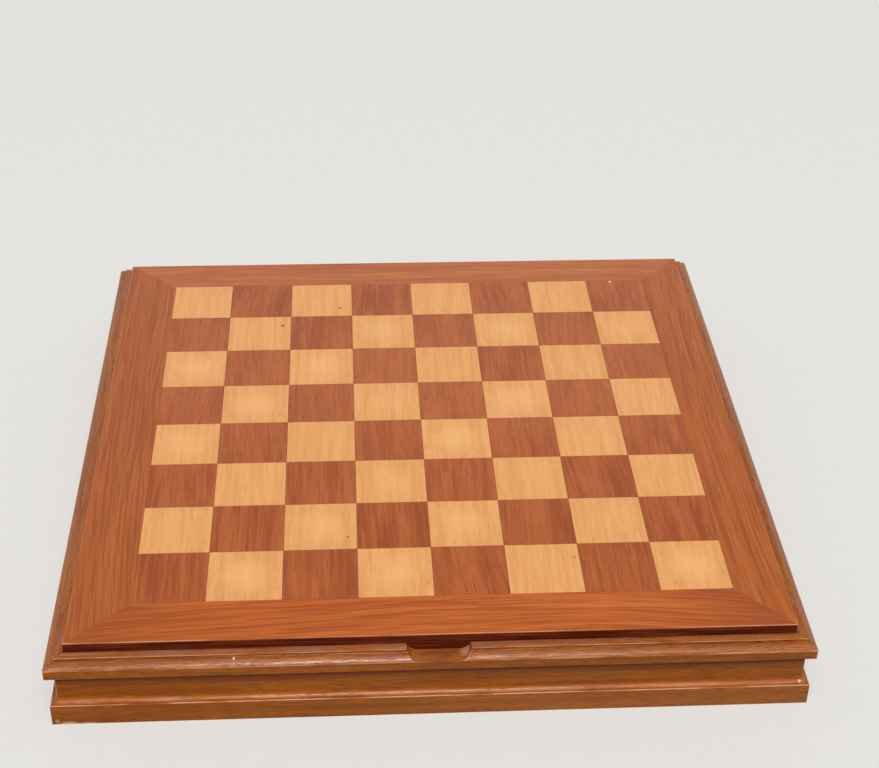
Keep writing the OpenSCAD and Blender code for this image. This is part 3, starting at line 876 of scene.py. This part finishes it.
def dressed(node_name, material, width, mitre_width=MITRE_EASE, share=all_edges):
    """Puts a copy of a CAD node with eased edges in its place; the second slot marks the eased faces."""
    node = frame["nodes"][node_name]
    mesh = node.data.copy()
    mesh.materials.clear()
    mesh.materials.append(material)
    mesh.materials.append(material)
    ease_edges(mesh, width, mitre_width, share)
    piece = bpy.data.objects.new(node_name + "_finished", mesh)
    bpy.context.scene.collection.objects.link(piece)
    bevel = piece.modifiers.new("ease", "BEVEL")
    bevel.width = CORNER_WIDTH
    bevel.segments = BEVEL_STEPS
    bevel.limit_method = "WEIGHT"
    bevel.use_clamp_overlap = False
    bevel.material = 1
    bpy.context.view_layer.update()
    eased = piece.evaluated_get(bpy.context.evaluated_depsgraph_get())
    piece.data = bpy.data.meshes.new_from_object(eased)
    piece.modifiers.clear()
    mark_wear(piece.data)
    piece.data.materials.pop(index=1)
    piece.data.shade_smooth()
    piece.data.set_sharp_from_angle(angle=SMOOTH_ANGLE)
    normals = piece.modifiers.new("even_shading", "WEIGHTED_NORMAL")
    normals.keep_sharp = True
    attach(piece, node["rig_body"])
    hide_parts(node_name)


def long_way(name):
    """The direction of a piece's grain: its longer way across the table."""
    low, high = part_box(name)
    return "x" if high.x - low.x > high.y - low.y else "y"


def case_finishes():
    """The finishes of the mouldings and of the board's rim."""
    made = {}
    for number, side in enumerate(SIDES, start=1):
        along = ALONG[side]
        spots, edges = (FRONT_CAP_MARKS, scoop_edges) if side == "front" else ((), all_edges)
        wood = moulding_wood(f"cap_{side}_wood", along, number, CAP_WEAR, spots)
        made[f"cap_{side}"] = (wood, CAP_EASE, MITRE_EASE, edges)
        wood = lipping_wood(f"lipping_{side}_wood", along, number)
        made[f"lipping_{side}"] = (wood, LIPPING_EASE, LIPPING_MITRE_EASE)
        veneer = border_wood(f"border_{side}_wood", side, number)
        made[f"border_{side}_veneer"] = (veneer, BORDER_EASE, BORDER_EASE, rim_edges)
    for number, end in enumerate(ENDS, start=len(SIDES) + 1):
        spots = FRONT_BASE_MARKS if end == "front" else ()
        wood = moulding_wood(f"base_{end}_wood", "x", number, BASE_WEAR_AND_HIGHLIGHT, spots)
        made[f"base_{end}"] = (wood, BASE_EASE)
    for number, flank in enumerate(FLANKS, start=len(SIDES) + len(ENDS) + 1):
        wood = moulding_wood(f"base_{flank}_wood", "y", number, BASE_WEAR_AND_HIGHLIGHT)
        for name in (f"corner_front_{flank}", f"corner_back_{flank}", f"drawer_{flank}_front"):
            made[name] = (wood, BASE_EASE)
    return made


def finishes():
    """{node: (material, eased width, eased width at a mitre, which edges)} of every CAD node."""
    made = case_finishes()
    made["light_squares"] = (light_square_wood(), SQUARE_EASE)
    made["dark_squares"] = (dark_square_wood(), SQUARE_EASE)
    shared = {
        "baize": felt("baize"),
        "brass": metal("aged_brass", BRASS_BRIGHT, BRASS_DULL, 0.25),
        "steel": metal("zinc_steel", STEEL_BRIGHT, STEEL_DULL, 0.3),
    }
    own = {"dark_veneer": lipping_wood, "inside_wood": bare_wood, "plywood": plywood}
    for number, name in enumerate(sorted(frame["nodes"])):
        if name in made:
            continue
        slot = SLOTS[name]
        material = shared.get(slot) or own[slot](name + "_wood", long_way(name), number)
        made[name] = (material, INSIDE_EASE)
    return made


for node_name, finish in finishes().items():
    dressed(node_name, *finish)


# --------------------------------------------------------------------------- stage
FLOOR_SIZE = 40.0
FLOOR_PALE = colour(232, 230, 226)
FLOOR_TOOTH = colour(228, 226, 222)
FLOOR_BOUNCE = colour(96, 88, 78)
FLOOR_GLOW = 0.5

# The far wall that the varnish mirrors, the dimmer room above and in front of it, and where, in
# directions up and to the back, the one passes into the other
WALL_STRENGTH = 0.95
ROOM_STRENGTH = 0.25
WALL_TOP = (0.46, 0.66)
WALL_FRONT = (-0.1, 0.5)
WHITE = (1.0, 1.0, 1.0, 1.0)

OVERHEAD_POWER = 38.0
OVERHEAD_SIZE = (2.2, 1.6)
OVERHEAD_PLACE = (0.0, -1.52, 3.26)
WINDOW_STRENGTH = 1.76
WINDOW_ANGLE = math.radians(11.0)
WINDOW_PLACE = (-0.04, -2.57, 3.06)


def floor():
    """Pale paper; for the light that it throws back at the box it is darker, as a table top is."""
    bpy.ops.mesh.primitive_plane_add(size=FLOOR_SIZE)
    plane = bpy.context.object
    plane.name = "floor"
    graph = material_graph("floor_paper")
    paper = graph.mix(clouds(graph, object_place(graph), 90.0), FLOOR_PALE, FLOOR_TOOTH)
    path = graph.add("LightPath").outputs
    seen = graph.math("MAXIMUM", path["Is Camera Ray"], path["Is Glossy Ray"])
    seen = graph.math("MAXIMUM", seen, path["Is Transmission Ray"])
    lit = graph.add("BsdfDiffuse", graph.mix(seen, FLOOR_BOUNCE, paper)).outputs[0]
    glow = graph.add("Emission", paper, 1.0).outputs[0]
    surface = graph.add("MixShader", graph.math("MULTIPLY", seen, FLOOR_GLOW), lit, glow)
    graph.put(graph.add("OutputMaterial").inputs["Surface"], surface.outputs[0])
    plane.data.materials.append(graph.owner)


def lamp(light, place):
    """Hangs a light at a place, so that it shines at the middle of the box."""
    holder = bpy.data.objects.new(light.name, light)
    bpy.context.scene.collection.objects.link(holder)
    holder.location = place
    holder.rotation_euler = (-Vector(place)).to_track_quat("-Z", "Y").to_euler()


def overhead():
    """A broad soft box above the front of the table."""
    light = bpy.data.lights.new("overhead", "AREA")
    light.shape = "RECTANGLE"
    light.size, light.size_y = OVERHEAD_SIZE
    light.energy = OVERHEAD_POWER
    lamp(light, OVERHEAD_PLACE)


def window():
    """The harder of the two lights, which comes over the viewer's head and gleams on the rounds."""
    light = bpy.data.lights.new("window", "SUN")
    light.angle = WINDOW_ANGLE
    light.energy = WINDOW_STRENGTH
    lamp(light, WINDOW_PLACE)


def world():
    """A pale wall behind the box in a dimmer room, both white to the camera."""
    sky = bpy.data.worlds.new("studio")
    bpy.context.scene.world = sky
    graph = Graph(sky)
    y, z = graph.parts(graph.add("TexCoord").outputs["Generated"])[1:]
    wall = graph.math("MULTIPLY", graph.step(z, *WALL_TOP, 1.0, 0.0), graph.step(y, *WALL_FRONT))
    strength = graph.step(wall, 0.0, 1.0, ROOM_STRENGTH, WALL_STRENGTH)
    path = graph.add("LightPath").outputs["Is Camera Ray"]
    shade = graph.add("Background", WHITE, graph.math("MAXIMUM", path, strength))
    graph.put(graph.add("OutputWorld").inputs["Surface"], shade.outputs[0])


def camera():
    """The camera that was fitted to the photograph's view."""
    data = bpy.data.cameras.new("camera")
    data.lens = CAMERA_LENS
    data.sensor_width = SENSOR_WIDTH
    data.sensor_fit = "HORIZONTAL"
    data.clip_end = CAMERA_SEES_TO
    eye = bpy.data.objects.new("camera", data)
    bpy.context.scene.collection.objects.link(eye)
    turn = Matrix.Rotation(math.radians(-CAMERA_RIGHT), 4, "Z")
    tilt = Matrix.Rotation(math.radians(90 - CAMERA_DOWN), 4, "X")
    roll = Matrix.Rotation(math.radians(CAMERA_ROLL), 4, "Z")
    eye.matrix_world = Matrix.Translation(CAMERA_PLACE) @ turn @ tilt @ roll
    bpy.context.scene.camera = eye


floor()
world()
overhead()
window()
camera()

bpy.context.scene.view_settings.view_transform = "Standard"
